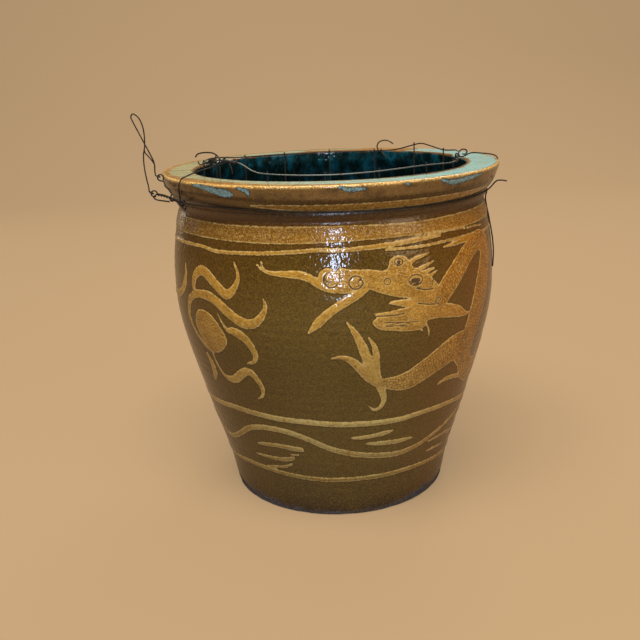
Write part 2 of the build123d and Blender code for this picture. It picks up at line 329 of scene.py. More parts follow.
# %% The section of the jar
PAINT_STEP = 2.1
RIM_STEP = 1.3
LIP_STEP = 0.8
THROAT_STEP = 3.0
INSIDE_STEP = 7.0
BASE_ROWS = 13
FLOOR_ROWS = 12
NEAR_AXIS = 0.5
foot_in = (FOOT_R - 3.5, 0)
foot_top = (FOOT_R, 4)
stations = [(FOOT_R + 10.3, 57), (FOOT_R + 37.4, 149), (BELLY_R - 4.4, 272), (BELLY_R, 348),
            (BELLY_R - 6.1, 404)]
neck = (NECK_R, NECK_Z)
below_crease = (NECK_R + 5.2, CREASE_Z - 2)
above_crease = (NECK_R + 6.6, CREASE_Z + 1.6)
roll_top = (RIM_R - 4, HEIGHT - 14.5)
edge_low = (RIM_R, HEIGHT - 2.8)
edge_in = (RIM_R - 2.6, HEIGHT)
lip_in = (MOUTH_R + 4, HEIGHT)
lip_low = (MOUTH_R, HEIGHT - 4)
lip_under = (MOUTH_R, HEIGHT - 17)
throat = (NECK_R - WALL, NECK_Z + 4)
inner_stations = [(r - WALL, z) for r, z in reversed(stations)]
floor_edge = (FOOT_R - 40, FLOOR_THICKNESS)

fine_rows = joined([
    np.column_stack([np.linspace(NEAR_AXIS, foot_in[0], BASE_ROWS + 1), np.zeros(BASE_ROWS + 1)]),
    arc_line(foot_in, (FOOT_R - 1.2, 1.2), foot_top, RIM_STEP),
    smooth_line([foot_top] + stations + [neck], PAINT_STEP),
    arc_line(neck, (NECK_R + 3.6, NECK_Z + 4.6), below_crease, RIM_STEP),
    arc_line(below_crease, (NECK_R + 4.8, CREASE_Z - 0.2), above_crease, RIM_STEP),
    arc_line(above_crease, (RIM_R - 8, HEIGHT - 24.8), roll_top, RIM_STEP),
    smooth_line([roll_top, edge_low], RIM_STEP),
    arc_line(edge_low, (RIM_R - 0.7, HEIGHT - 0.8), edge_in, LIP_STEP),
    smooth_line([edge_in, lip_in], PAINT_STEP),
    arc_line(lip_in, (MOUTH_R + 1.2, HEIGHT - 1.2), lip_low, LIP_STEP),
    smooth_line([lip_low, lip_under], RIM_STEP),
])
coarse_rows = joined([
    arc_line(lip_under, (MOUTH_R + 3, HEIGHT - 27), throat, THROAT_STEP),
    smooth_line([throat] + inner_stations, INSIDE_STEP),
    arc_line(inner_stations[-1], (FOOT_R - WALL - 3, 29), floor_edge, INSIDE_STEP),
    np.column_stack([np.linspace(floor_edge[0], NEAR_AXIS, FLOOR_ROWS),
                     np.full(FLOOR_ROWS, FLOOR_THICKNESS)]),
])[1:]
section = np.vstack([fine_rows, coarse_rows])
print("rows of the section:", len(fine_rows), "fine and", len(coarse_rows), "coarse")

# %% [markdown]
# ## One coordinate up the wall and over the rim
#
# The paint is laid out as on a paper wrapped round the jar. "Across" is millimetres round the
# belly, from the middle of the front to the right. "Up" is the height on the outside, and over
# the rim it goes on as millimetres of glaze: the rim's top is 490 to 530 and the inside is beyond.

# %% Points of the jar
FINE_COLUMNS = 720
COARSE_COLUMNS = 360
BASE_UP = -5.0

steps_between = np.linalg.norm(np.diff(section, axis=0), axis=1)
travelled = np.concatenate([[0], np.cumsum(steps_between)])
top_row = int(np.argmax(section[:, 1] >= HEIGHT - 0.01))
past_top = HEIGHT + travelled - travelled[top_row]
row_up = np.where(np.arange(len(section)) <= top_row, section[:, 1], past_top)
row_up[:BASE_ROWS] = BASE_UP

row_columns = np.where(np.arange(len(section)) < len(fine_rows), FINE_COLUMNS, COARSE_COLUMNS)
ring_starts = np.concatenate([[0], np.cumsum(row_columns)])
angle = np.concatenate([np.arange(n) * 2 * math.pi / n for n in row_columns])
radius = np.repeat(section[:, 0], row_columns)
height = np.repeat(section[:, 1], row_columns)
up = np.repeat(row_up, row_columns)
path = np.repeat(travelled / travelled[-1], row_columns)
across = ((angle + math.pi / 2 + math.pi) % (2 * math.pi) - math.pi) * BELLY_R
turn = across / GIRTH * 2 * math.pi
print("points of the jar:", len(angle))

# %% [markdown]
# ## Painting with slip
#
# Slip is clay as thick as cream, trailed or brushed on before glazing. Each stroke below is a
# short list of points in millimetres, with half the stroke's width at each one. For every point
# of the wall the code works out how deep it lies inside the nearest stroke. A depth is better than
# a plain yes or no: between two points of the mesh it still gives the exact edge, so the paint
# looks crisp on a mesh of 2 mm squares. Where strokes cross, the deeper one wins, and each keeps
# the direction in which it ran for the marks in the slip.

# %% Layers of paint
FAR_OUTSIDE = -9.0
slip = np.full(len(angle), FAR_OUTSIDE)
scratch = np.full(len(angle), FAR_OUTSIDE)
drips = np.full(len(angle), FAR_OUTSIDE)
marks_along = np.zeros(len(angle))
marks_aside = np.zeros(len(angle))
marking = np.zeros(len(angle))
scratch_side = np.zeros(len(angle))
PLAIN, SCALES, STRANDS, STIPPLED = 0, 1, 2, 3


def near(line, margin):
    """The wall's points near a line, and how far across and up they are."""
    middle = (line[:, 0].min() + line[:, 0].max()) / 2
    local = (across - middle + GIRTH / 2) % GIRTH - GIRTH / 2 + middle
    close = ((local > line[:, 0].min() - margin) & (local < line[:, 0].max() + margin)
             & (up > line[:, 1].min() - margin) & (up < line[:, 1].max() + margin))
    found = np.flatnonzero(close)
    return found, local[found], up[found]


def lay(depths, where, depth, along, aside, kind):
    """Keeps the deepest layer of paint at each point, and where its marks run."""
    better = depth > depths[where]
    where = where[better]
    depths[where] = depth[better]
    if depths is slip:
        marks_along[where] = along[better]
        marks_aside[where] = aside[better]
        marking[where] = kind
    elif depths is scratch:
        scratch_side[where] = aside[better]


print("layers of paint: slip, scratches and drips, each with", len(slip), "depths")

# %% [markdown]
# ### Brushes
#
# A stroke is a row of straight pieces, each as wide as the brush was pressed there. A filled shape
# is measured from its outline, as a potter fills one in. A dab is a stroke that goes nowhere, and
# a cut line is a stroke of the point.

# %% Brushes
STROKE_STEP = 5.0
OUTLINE_STEP = 4.0
MARGIN = 8


def stroke(points, kind=PLAIN, depths=slip):
    """A brush stroke through (across, up, half width) points."""
    line = smooth_line(points, STROKE_STEP)
    where, x, y = near(line, line[:, 2].max() + MARGIN)
    best = np.full(len(where), FAR_OUTSIDE)
    along, aside = np.zeros(len(where)), np.zeros(len(where))
    passed = 0.0
    for (ax, ay, aw), (bx, by, bw) in zip(line, line[1:]):
        length = max(math.hypot(bx - ax, by - ay), 0.001)
        dx, dy = (bx - ax) / length, (by - ay) / length
        run = (x - ax) * dx + (y - ay) * dy
        share = np.clip(run / length, 0, 1)
        away = np.hypot(x - ax - share * length * dx, y - ay - share * length * dy)
        depth = aw + (bw - aw) * share - away
        better = depth > best
        best[better] = depth[better]
        along[better] = passed + run[better]
        aside[better] = ((y - ay) * dx - (x - ax) * dy)[better]
        passed += length
    lay(depths, where, best, along, aside, kind)


def patch(outline, kind=PLAIN, lean=0.0):
    """A filled shape inside a smooth closed outline. Its marks run along a leaning direction."""
    line = smooth_line(list(outline) + [outline[0]], OUTLINE_STEP)
    where, x, y = near(line, MARGIN)
    away = np.full(len(where), 99.0)
    within = np.zeros(len(where), bool)
    for (ax, ay), (bx, by) in zip(line, line[1:]):
        length = max(math.hypot(bx - ax, by - ay), 0.001)
        dx, dy = (bx - ax) / length, (by - ay) / length
        share = np.clip((x - ax) * dx + (y - ay) * dy, 0, length)
        away = np.minimum(away, np.hypot(x - ax - share * dx, y - ay - share * dy))
        if ay != by:
            within ^= ((ay > y) != (by > y)) & (x < (bx - ax) * (y - ay) / (by - ay) + ax)
    depth = np.maximum(np.where(within, away, -away), FAR_OUTSIDE)
    a = math.radians(lean)
    lay(slip, where, depth, x * math.cos(a) + y * math.sin(a), y * math.cos(a) - x * math.sin(a), kind)


def dab(x, y, size, depths=slip):
    """A round touch of the brush."""
    stroke([(x - 0.1, y, size), (x + 0.1, y, size)], depths=depths)


def scratched(points, half_width):
    """A line cut into the slip."""
    stroke([(x, y, half_width) for x, y in points], depths=scratch)


print("brushes that are ready: stroke, patch, dab and scratched")

# %% [markdown]
# ### Bands and waves
#
# The jar was turned slowly under the brush for the bands, so they are level but waver a little.
# The wide one goes all round and is drawn as two wavy edges. The thin ones start and end, so they
# are strokes.

# %% Bands
BAND_BOTTOM = 415
BAND_TOP = 435.5
BAND_DIP = 2.4


def hump(middle, reach):
    """1 at a place on the way round the jar, falling smoothly to 0 on both sides."""
    return np.exp(-((across - middle) / reach) ** 2)


low_edge = BAND_BOTTOM + 2.6 * np.cos(turn - 0.9) + 0.8 * np.sin(5 * turn)
high_edge = (BAND_TOP + 1.2 * np.cos(turn) + 0.6 * np.sin(3 * turn + 1)
             - BAND_DIP * hump(middle=110, reach=70))
band = np.minimum(up - low_edge, high_edge - up)
lay(slip, np.arange(len(angle)), np.maximum(band, FAR_OUTSIDE), across, up, STIPPLED)

THIN_BANDS = [
    [(-330, 398, 2.2), (-250, 402, 2.3), (-200, 403, 2.2), (-171, 400, 2.3), (-112, 402, 2.4),
     (-62, 405, 2.6), (-17, 408, 2.6), (10, 407, 2.6), (62, 409, 3), (110, 411, 2.4), (155, 413, 2)],
    [(62, 411, 1.4), (98, 413, 1.5), (135, 415, 1.6), (166, 417, 1.5), (215, 414, 1.4),
     (262, 411, 1.2)],
    [(70, 404, 1.6), (119, 403, 1.8), (163, 404, 1.8), (221, 404, 2), (288, 401, 2),
     (336, 403, 2.2)],
    [(330, 403, 2.2), (470, 407, 2.4), (640, 402, 2.3), (800, 408, 2.4), (960, 403, 2.3),
     (1090, 401, 2.2), (1167, 398, 2.2)],
    [(-104, 464, 1.2), (-68, 462.5, 3.4), (-20, 461, 4.6), (60, 460.5, 5), (140, 460.5, 4.8),
     (215, 461, 3.8), (270, 462, 1.2)],
]
for points in THIN_BANDS:
    stroke(points)
print("points in the bands:", int((slip > 0).sum()))

# %% [markdown]
# ### Waves
#
# Above the foot run the sea's waves: a long meander between two lines, with short dashes in its
# bends. They could repeat round the jar, but a painter's hand never does, so the front has its own
# points, and only the dashes at the back are the front's again.

# %% Waves above the foot
WAVE_LINES = [
    [(-320, 160, 3.4), (-270, 162, 3.8), (-221, 165, 4.2), (-190, 168, 4.3), (-134, 167, 4.4),
     (-89, 165, 4.4), (-48, 164, 4.4), (-9, 161, 4.4), (44, 159, 4.4), (100, 158, 4.3),
     (149, 160, 4), (216, 157, 3.8), (271, 150, 3.6), (310, 149, 3.4)],
    [(308, 149, 3.4), (420, 156, 4), (560, 163, 4.2), (700, 160, 4.2), (850, 165, 4.2),
     (1000, 160, 4.2), (1100, 163, 4), (1180, 160, 3.4)],
    [(-262, 109, 3), (-246, 105, 3.4), (-230, 107, 3.8), (-210, 114, 4), (-190, 124, 4.2),
     (-168, 136, 4.3), (-140, 144, 4.4), (-110, 146, 4.5), (-80, 143, 4.5), (-48, 133, 4.6),
     (-11, 118, 4.6), (32, 107, 4.6), (79, 100, 4.6), (113, 98, 4.5), (150, 102, 4.2),
     (190, 111, 3.8), (241, 123, 3.6), (290, 133, 3.4), (350, 142, 4), (410, 142, 4),
     (470, 128, 4), (540, 104, 4), (610, 96, 4), (690, 109, 4), (760, 133, 4), (830, 143, 4),
     (900, 131, 4), (970, 106, 4), (1040, 97, 4), (1110, 111, 4), (1165, 126, 3.8),
     (1205, 120, 3.4), (1232, 109, 3)],
    [(-262, 64, 3), (-203, 69, 3.6), (-155, 69, 3.8), (-98, 66, 3.8), (-30, 63, 3.8),
     (34, 63, 3.8), (84, 63, 3.8), (162, 63, 3.6), (263, 57, 3.4), (320, 55, 3.4)],
    [(318, 55, 3.4), (480, 61, 3.8), (650, 58, 3.8), (820, 64, 3.8), (1000, 60, 3.8),
     (1120, 63, 3.6), (1235, 64, 3)],
]
for points in WAVE_LINES:
    stroke(points)

DASHES = [
    [(-156, 113, 1.4), (-138, 115, 3), (-112, 117, 3.6), (-86, 116, 4.2), (-66, 115, 3.8)],
    [(-168, 92, 1.2), (-148, 92, 2.6), (-122, 92, 3.4), (-100, 94, 3.8), (-84, 98, 3)],
    [(-156, 71, 1.6), (-131, 76, 2.4), (-106, 80, 2.4), (-90, 87, 1.6)],
    [(-90, 104, 1), (-74, 105, 1.2)],
    [(22, 137, 1.6), (34, 136, 2.8), (57, 137, 3.2), (78, 139, 3.4), (92, 141, 1.6)],
    [(47, 125, 1.6), (64, 123, 3.4), (90, 121, 3.8), (115, 120, 3.4), (134, 120, 1.4)],
    [(179, 101, 1.4), (200, 101, 2.6), (240, 99, 2.6), (290, 92, 1.6)],
    [(184, 83, 1.2), (205, 82, 2.4), (240, 79, 1.6)],
]
BACK_DASHES = DASHES[:6]
for shift, dashes in ((0, DASHES), (420, BACK_DASHES), (840, BACK_DASHES)):
    for dash in dashes:
        stroke([(x + shift, y, w) for x, y, w in dash])
print("points under slip so far:", int((slip > 0).sum()))

# %% [markdown]
# ### The flaming pearl
#
# The dragon on these jars chases a pearl with flames. It is a round patch with a whorl combed
# into it, and tongues of flame that end in hooks. A flame swells and thins, so each of its points
# has its own width.

# %% The flaming pearl
PEARL = [
    (-217, 313), (-200, 316), (-183, 310), (-169, 297), (-160, 282), (-164, 270), (-176, 260),
    (-193, 254), (-208, 258), (-221, 273), (-228, 289), (-224, 303),
]
patch(PEARL, STRANDS, lean=-8)
FLAMES = [
    [(-221, 336, 3.6), (-223, 348, 4.4), (-217, 362, 5.8), (-202, 371, 6.8), (-186, 366, 7.2),
     (-168, 354, 7), (-152, 345, 7), (-139, 353, 5), (-131, 368, 3), (-133, 379, 2),
     (-138, 389, 1.2)],
    [(-198, 252, 1.8), (-220, 264, 2.8), (-238, 281, 3.2), (-246, 300, 3.8), (-238, 322, 4.8),
     (-222, 334, 5.4), (-203, 338, 6), (-184, 337, 7), (-165, 329, 7.2), (-145, 317, 7.2),
     (-126, 309, 7.2), (-110, 310, 6.4), (-98, 320, 4.8), (-91, 333, 3), (-93, 344, 1.4)],
    [(-171, 316, 1.3), (-164, 304, 1.6), (-156, 295, 2.8), (-147, 295, 5.4), (-137, 292, 6.8),
     (-126, 286, 6.4), (-118, 276, 5.6), (-114, 264, 4.4), (-118, 254, 3), (-131, 249, 1.3)],
    [(-200, 250, 1.6), (-195, 232, 2), (-186, 220, 3), (-170, 217, 5.6), (-156, 223, 6.6),
     (-143, 233, 6.4), (-130, 236, 5.6), (-120, 226, 4.6), (-114, 211, 3.6), (-118, 199, 2),
     (-127, 194, 1.1)],
    [(-217, 247, 2.6), (-212, 234, 5.4), (-212, 219, 6), (-220, 205, 2.4)],
    [(-247, 374, 1.2), (-246, 360, 3), (-252, 345, 5.4), (-266, 331, 5.4), (-286, 322, 5)],
]
for points in FLAMES:
    stroke(points)
print("points under slip with the pearl:", int((slip > 0).sum()))

# %% [markdown]
# ### The dragon
#
# The head looks left with its jaws open. It has a long snout with two curls at the nose, two
# round eyes, a tuft of hair and long whiskers. Its two jaws are filled shapes, and the rest are
# strokes laid over their edges, so that the outline runs on without a seam.

# %% Head of the dragon
SNOUT_AND_BROW = [
    (9, 387), (15, 384), (30, 382), (49, 381), (65, 378), (72, 383), (74, 391), (83, 395),
    (94, 394), (101, 388), (106, 379), (118, 373), (129, 365), (138, 357), (146, 348), (150, 334),
    (156, 323), (142, 321), (122, 327), (103, 336), (96, 340), (84, 342), (71, 346), (57, 351),
    (43, 357), (33, 356), (20, 355), (4, 358), (2, 374),
]
patch(SNOUT_AND_BROW, STIPPLED)
NOSE = [(-7, 373, 12.5), (6, 372, 9), (28, 366, 10.5)]
for x, y, size in NOSE:
    dab(x, y, size)
LOWER_JAW = [
    (50, 324), (72, 325), (93, 327), (112, 328), (135, 327), (164, 321), (185, 314), (202, 302),
    (213, 300), (203, 296), (189, 297), (165, 301), (146, 304), (129, 305), (124, 299),
    (118, 294), (100, 294), (80, 297), (60, 301), (51, 307), (48, 313), (54, 318),
]
patch(LOWER_JAW, STIPPLED)
HEAD_STROKES = [
    [(-102, 388, 1.1), (-93, 382, 1.8), (-80, 378.5, 2.8), (-62, 378, 4.2), (-46, 377.5, 5),
     (-32, 374, 5), (-21, 367, 5), (-10, 361, 4.8), (3, 358, 4.6), (18, 357, 4.2)],
    [(-96, 392, 1), (-92, 384, 1.4)],
    [(46, 361, 3), (34, 353, 5.2), (20, 345, 5.8), (3, 335, 5.8), (-12, 324, 5.8), (-22, 314, 6),
     (-34, 302, 1.6)],
    [(70, 336, 0.9), (80, 335, 3), (94, 333, 5), (112, 330, 6)],
    [(106, 303, 2), (114, 296, 1.7), (121, 291, 1)],
    [(116, 305, 1.6), (124, 301, 1.5), (129, 293, 1.4), (132, 281, 1)],
    [(96, 381, 3), (103, 385, 3), (112, 389, 2.6), (122, 391, 2), (132, 393, 1)],
    [(104, 371, 3), (116, 375, 2.8), (127, 378, 2.2), (139, 382, 1)],
    [(112, 366, 3), (125, 370, 2.6), (140, 373, 1)],
    [(120, 361, 3), (132, 364, 2.6), (144, 369, 1)],
]
for points in HEAD_STROKES:
    stroke(points)
print("strokes on the head:", len(HEAD_STROKES))

# %% [markdown]
# ### Body and leg
#
# The neck rises behind the head, and the body drops again at the right, where the foreleg with
# its four claws leaves it. The body is one long stroke from the neck to the tail, because its
# scales have to run on without a break.

# %% Neck, body and leg of the dragon
BODY = [
    (150, 333, 14), (165, 348, 15.5), (182, 363, 15), (200, 377, 14), (220, 388, 13),
    (243, 393, 14), (262, 381, 18), (260, 360, 21), (250, 335, 22), (239, 308, 22.5),
    (230, 285, 22), (223, 262, 21), (221, 240, 19), (228, 218, 18), (245, 203, 18),
    (272, 197, 20), (305, 202, 23), (345, 220, 25), (385, 248, 26), (425, 282, 26),
    (468, 308, 26), (512, 315, 26), (555, 298, 25), (595, 268, 25), (635, 242, 24),
    (680, 230, 23), (725, 241, 22), (765, 268, 21), (805, 298, 20), (850, 314, 18),
    (895, 306, 16), (935, 284, 14), (975, 264, 12), (1015, 255, 10), (1060, 262, 8),
    (1100, 284, 6.5), (1140, 308, 5.4), (1180, 320, 5), (1212, 322, 5),
]
stroke(BODY, SCALES)
MANE = [(158, 397, 1), (176, 398, 2.6), (200, 400, 4), (226, 400, 5)]
stroke(MANE)
FORELEG = [
    (222, 245, 20), (200, 252, 22), (178, 250, 21), (155, 241, 19), (132, 231, 17),
    (108, 221, 15), (88, 219, 11.5), (70, 222, 7.5),
]
stroke(FORELEG, SCALES)
CLAWS = [
    [(15, 315, 1.1), (24, 302, 3.6), (33, 284, 5.6), (40, 266, 6.8), (48, 248, 7), (57, 230, 7)],
    [(43, 292, 1.1), (50, 281, 3), (54, 267, 4.4), (55, 252, 4.8), (56, 236, 5.5)],
    [(-7, 265, 1.1), (8, 266, 3), (21, 260, 5), (33, 248, 6.4), (44, 236, 7.5), (58, 225, 8)],
    [(62, 218, 6), (68, 205, 5), (70, 193, 4), (65, 183, 3), (55, 181, 2.2), (48, 187, 1.1)],
]
for claw in CLAWS:
    stroke(claw)
SHOULDER = [(198, 238, 10), (224, 222, 14)]
stroke(SHOULDER, SCALES)
BELLY_TUFT = [(167, 200, 1.8), (180, 204, 3.2), (202, 203, 3.6), (226, 197, 3)]
stroke(BELLY_TUFT)
print("claws:", len(CLAWS))

# %% [markdown]
# ### The far side
#
# The far side can't be seen in the photograph. There the body goes on in two long bends to a thin
# tail beside the pearl, with two hind legs, a row of back fins and two clouds. It could be left
# bare, but potters filled such a jar all round.

# %% The far side
HIND_LEGS = [(560, 275), (800, 270)]
ANKLE_DROP = 68
HIND_CLAWS = [(-38, -66), (-30, -84), (-8, -96), (22, -90)]
BACK_FINS = [(370, 275), (405, 305), (440, 332), (480, 348), (525, 350), (568, 335), (605, 305),
             (640, 282), (690, 262), (735, 272), (775, 302), (812, 328), (856, 340), (902, 328)]
CLOUDS = [(665, 345), (1010, 345)]
for x, y in HIND_LEGS:
    ankle_x, ankle_y = x - 4, y - ANKLE_DROP
    stroke([(x, y, 17), (x + 22, y - 26, 14), (x + 18, y - 52, 10), (ankle_x, ankle_y, 7)], SCALES)
    for reach, drop in HIND_CLAWS:
        knuckle = (ankle_x + reach * 0.6, ankle_y + (drop + ANKLE_DROP) * 0.35, 4.6)
        stroke([(ankle_x, ankle_y, 6), knuckle, (x + reach, y + drop, 1.1)])
for x, y in BACK_FINS:
    stroke([(x - 6, y - 4, 5), (x + 2, y + 6, 3), (x + 10, y + 13, 1.1)])
for x, y in CLOUDS:
    stroke([(x - 45, y - 6, 1.2), (x - 24, y + 2, 5), (x - 6, y + 10, 7), (x + 12, y + 2, 6),
            (x + 6, y - 10, 4), (x - 8, y - 8, 1.2)])
    stroke([(x + 8, y + 4, 4), (x + 30, y + 12, 5), (x + 46, y + 2, 3), (x + 62, y + 4, 1.2)])
print("points under slip:", int((slip > 0).sum()))

# %% [markdown]
# ### Lines cut into the slip
#
# While the slip is leather-hard, a point is drawn through it. That gives the eyes, the curls of
# the nose, and the lines along the jaws. Cut lines are a layer of their own, since they lie in the
# slip and not beside it.

# %% Lines cut into the slip
RING_STEPS = 14


def ring(x, y, wide, tall, start, end):
    """Points on an oval cut, or on a part of one."""
    turns = [math.radians(start + (end - start) * i / RING_STEPS) for i in range(RING_STEPS + 1)]
    return [(x + wide * math.cos(a), y + tall * math.sin(a)) for a in turns]


# Middle across and up, half width and half height, first and last angle, half width of the cut.
CURLS_AND_EYES = [
    (-3, 371, 10, 10, 150, 320, 0.8), (-5, 374, 6, 6, 90, 300, 0.6),
    (28, 366, 9, 8.5, 0, 360, 0.8), (34, 365, 3.6, 3.8, 0, 360, 0.6),
    (25, 366, 5.5, 6, 110, 250, 0.6), (86, 387, 6, 4.6, 0, 360, 0.6),
    (109, 361.5, 10.5, 7, 0, 360, 0.7), (69, 364, 4.6, 4.2, 0, 360, 0.6),
    (138, 354, 4.4, 4.6, -60, 220, 0.6), (144, 329, 4, 4.4, 0, 300, 0.7),
]
for x, y, wide, tall, start, end, half_width in CURLS_AND_EYES:
    scratched(ring(x, y, wide, tall, start, end), half_width)
SMALL_PUPIL = (86, 387, 2.4)
dab(*SMALL_PUPIL, scratch)
LARGE_PUPIL = [(105, 361, 3), (112, 360.5, 3.2)]
stroke(LARGE_PUPIL, depths=scratch)
JAW_LINES = [
    ([(109, 351), (122, 347), (136, 346)], 0.8),
    ([(112, 330), (125, 327), (138, 325)], 0.8),
    ([(52, 320), (66, 319.5), (80, 319), (92, 320)], 0.8),
    ([(64, 310.5), (80, 309), (94, 307), (112, 306)], 0.6),
    ([(66, 305), (80, 304.5), (96, 302)], 0.6),
]
for points, half_width in JAW_LINES:
    scratched(points, half_width)
# Middle across and up, and the lean in degrees, of cuts between the folds of the neck.
BODY_CUTS = [(190, 369, 42), (226, 389, 12), (258, 362, -78), (243, 318, -70), (224, 262, -80)]
CUT_REACH = 12
CUT_ARCH = 1.5
for x, y, lean in BODY_CUTS:
    a = math.radians(lean)
    dx, dy = CUT_REACH * math.cos(a), CUT_REACH * math.sin(a)
    scratched([(x - dx, y - dy), (x, y + CUT_ARCH), (x + dx, y + dy)], 0.6)
print("points in scratches:", int((scratch > 0).sum()))

# %% [markdown]
# ### Pale glaze on the rim
#
# The inside was filled with a turquoise copper glaze, and the rim was wiped with it. It is pale
# on the flat top, gives way to brown at the back, and dripped over the edge in a few places. The
# pale part and the drips are two more layers of depths. The pale part is cut from plain edges and
# a gap at the back, with a few strokes added where it spilled.

# %% Pale glaze on the rim
def soft_step(values, low, high):
    """0 below low, 1 above high, and a smooth rise between."""
    t = np.clip((values - low) / (high - low), 0, 1)
    return t * t * (3 - 2 * t)


degrees = np.degrees(angle)
BROWN_MIDDLE = 76.0
BROWN_REACH = 25.0
MM_PER_DEGREE = 1.6
PALE_FROM = 492
PALE_TO = 530
LIP_OVERLAP = 9.0
from_brown_middle = np.abs((degrees - BROWN_MIDDLE + 180) % 360 - 180)
from_brown = (from_brown_middle - BROWN_REACH) * MM_PER_DEGREE
brown_edge = (PALE_FROM + 7 * soft_step(-across, -120, 0)
              + 13 * soft_step(-across, 0, 170) * (1 - soft_step(-across, 200, 300)))
lip_overlap = LIP_OVERLAP * hump(middle=150, reach=120)
lip_edge = PALE_TO - lip_overlap
on_rim = np.minimum(np.minimum(up - brown_edge, lip_edge - up), from_brown)
pale = np.maximum(on_rim, FAR_OUTSIDE)
SPILLS = [
    [(530, 492, 2), (540, 500, 5), (546, 512, 6), (550, 522, 5)],
    [(440, 494, 4), (446, 506, 6), (440, 524, 7)],
    [(690, 496, 2), (720, 506, 5), (760, 512, 4), (800, 500, 3)],
    [(402, 536, 3), (420, 530, 5), (438, 538, 6), (448, 528, 4)],
]
DRIPS = [
    [(-192, 486.5, 1), (-172, 485, 3), (-152, 481, 4.4), (-136, 479, 4.8), (-128, 478, 2.6)],
    [(-116, 486.5, 1.2), (-104, 483, 3.2), (-103, 478, 1.6)],
    [(10, 486.5, 1), (24, 483.5, 2.6), (40, 484, 1.8)],
    [(92, 486, 1.2), (97, 485, 1.4)],
    [(144, 486.5, 1.4), (166, 481, 3), (198, 483, 2.6), (226, 484.5, 1.4)],
    [(620, 487, 1.2), (650, 482, 3.6), (690, 484, 2)],
    [(930, 487, 1.2), (950, 483, 3), (985, 485, 2)],
]
for spill in SPILLS:
    stroke(spill, depths=pale)
for drip in DRIPS:
    stroke(drip, depths=drips)
print("points under pale glaze:", int((pale > 0).sum()))

# %% [markdown]
# ## The jar as a mesh
#
# Each row of the section becomes a ring of points. The slip lifts its points by more than half a
# millimetre, the scratches sink, and the potter's fingers leave faint rings up the wall. All that
# could be a bump in the material, but real relief also shows in the outline and is kept in the
# mesh that others reuse. The wires lie in the crease and on the rim, so there the clay stays
# within a fifth of a millimetre of the solid.

# %% Relief of the clay
SLIP_RELIEF = 0.7
SCRATCH_DEPTH = 0.45
FINGER_RELIEF = 0.14
FINGER_SPACING = 12.5
DIMPLE_RELIEF = 0.2
CHIP_DEPTH = 0.8

on_wall = soft_step(up, 4, 30) * (1 - soft_step(up, 424, 438))
finger_wave = np.sin(up * 2 * math.pi / FINGER_SPACING + 0.8 * np.sin(turn * 2))
finger_rings = FINGER_RELIEF * finger_wave * np.sin(up / 37 + turn)
out_of_round = 0.6 * np.cos(2 * angle + 0.6) + 0.3 * np.cos(3 * angle + 2)
relief = SLIP_RELIEF * soft_step(slip, -0.4, 1.6) - SCRATCH_DEPTH * soft_step(scratch, -0.4, 0.6)
relief = relief * (1 - soft_step(up, 436, 442))
on_face = soft_step(up, 460, 472) * (1 - soft_step(up, 486, 492))
dimple = DIMPLE_RELIEF * on_face * np.sin(turn * 11 + up / 6)
at_foot = (up > BASE_UP + 1) * (radius > FOOT_R - 3)
chip_pattern = np.maximum(0, np.sin(turn * 23) * np.sin(turn * 9 + 1))
chips = -CHIP_DEPTH * soft_step(12 - up, 0, 8) * chip_pattern
spread = radius + relief + on_wall * (finger_rings + out_of_round) + dimple + chips * at_foot
verts = np.column_stack([spread * np.cos(angle), spread * np.sin(angle), height]) * MM
print("relief from", round(float((spread - radius).min()), 2), "to",
      round(float((spread - radius).max()), 2), "mm")

# %% [markdown]
# ### Faces between the rings
#
# Rings with as many points are joined by squares. Under the lip the rings go from 720 points to
# 360, and one row of triangles takes up the difference. The base and the floor each close with one
# flat face, so the skin has no hole.

# %% Faces between the rings
faces = []
for i in range(len(section) - 1):
    low, high = int(ring_starts[i]), int(ring_starts[i + 1])
    if i == len(fine_rows) - 1:
        for j in range(COARSE_COLUMNS):
            k = (j + 1) % COARSE_COLUMNS
            a, b, c = low + 2 * j, low + 2 * j + 1, low + (2 * j + 2) % FINE_COLUMNS
            faces += [(a, b, high + j), (b, high + k, high + j), (b, c, high + k)]
        continue
    here = np.arange(row_columns[i])
    after = (here + 1) % row_columns[i]
    faces += np.column_stack([low + here, low + after, high + after, high + here]).tolist()
faces.append(list(range(FINE_COLUMNS - 1, -1, -1)))
faces.append(list(range(int(ring_starts[-2]), int(ring_starts[-1]))))

mesh = bpy.data.meshes.new("glazed_jar")
mesh.from_pydata(verts.tolist(), [], faces)
mesh.polygons.foreach_set("use_smooth", [True] * len(mesh.polygons))
print("faces of the jar:", len(mesh.polygons))

# %% [markdown]
# ### The skin as a sheet
#
# A game engine needs the skin's colours as one flat picture. The skin of a thrown jar unrolls into
# a sheet that is nearly square: once round is 1.5 metres, and the way from the middle of the base
# up, over the rim and down to the middle of the floor is 1.3 metres. Only one cut is needed, down
# the jar's right side.

# %% Unroll the skin
corners = np.empty(len(mesh.loops), int)
mesh.loops.foreach_get("vertex_index", corners)
face_of = np.repeat(np.arange(len(faces)), [len(face) for face in faces])
sheet_x = angle[corners] / (2 * math.pi)
widest = np.zeros(len(faces))
np.maximum.at(widest, face_of, sheet_x)
# A face at the cut has corners at both ends of the sheet, so its left corners move to the right.
sheet_x[(widest[face_of] > 0.9) & (sheet_x < 0.1)] += 1
sheet = mesh.uv_layers.new(name="OFBake")
sheet.data.foreach_set("uv", np.column_stack([sheet_x, path[corners]]).ravel())
print("the sheet is", round(GIRTH), "by", round(float(travelled[-1])), "mm")

# %% [markdown]
# ### Notes for the glaze
#
# The crease under the rim isn't quite level: its dark line of painted shade climbs a centimetre
# towards the left. At the right the deep glaze laps over the lip. The zones of colour follow both.
# The foot was wiped before firing, and the bare clay reaches higher at the sides.

# %% Notes on the surface
CREASE_CLIMB = 12.0
BARE_AT_FRONT = 6
BARE_AT_SIDES = 9

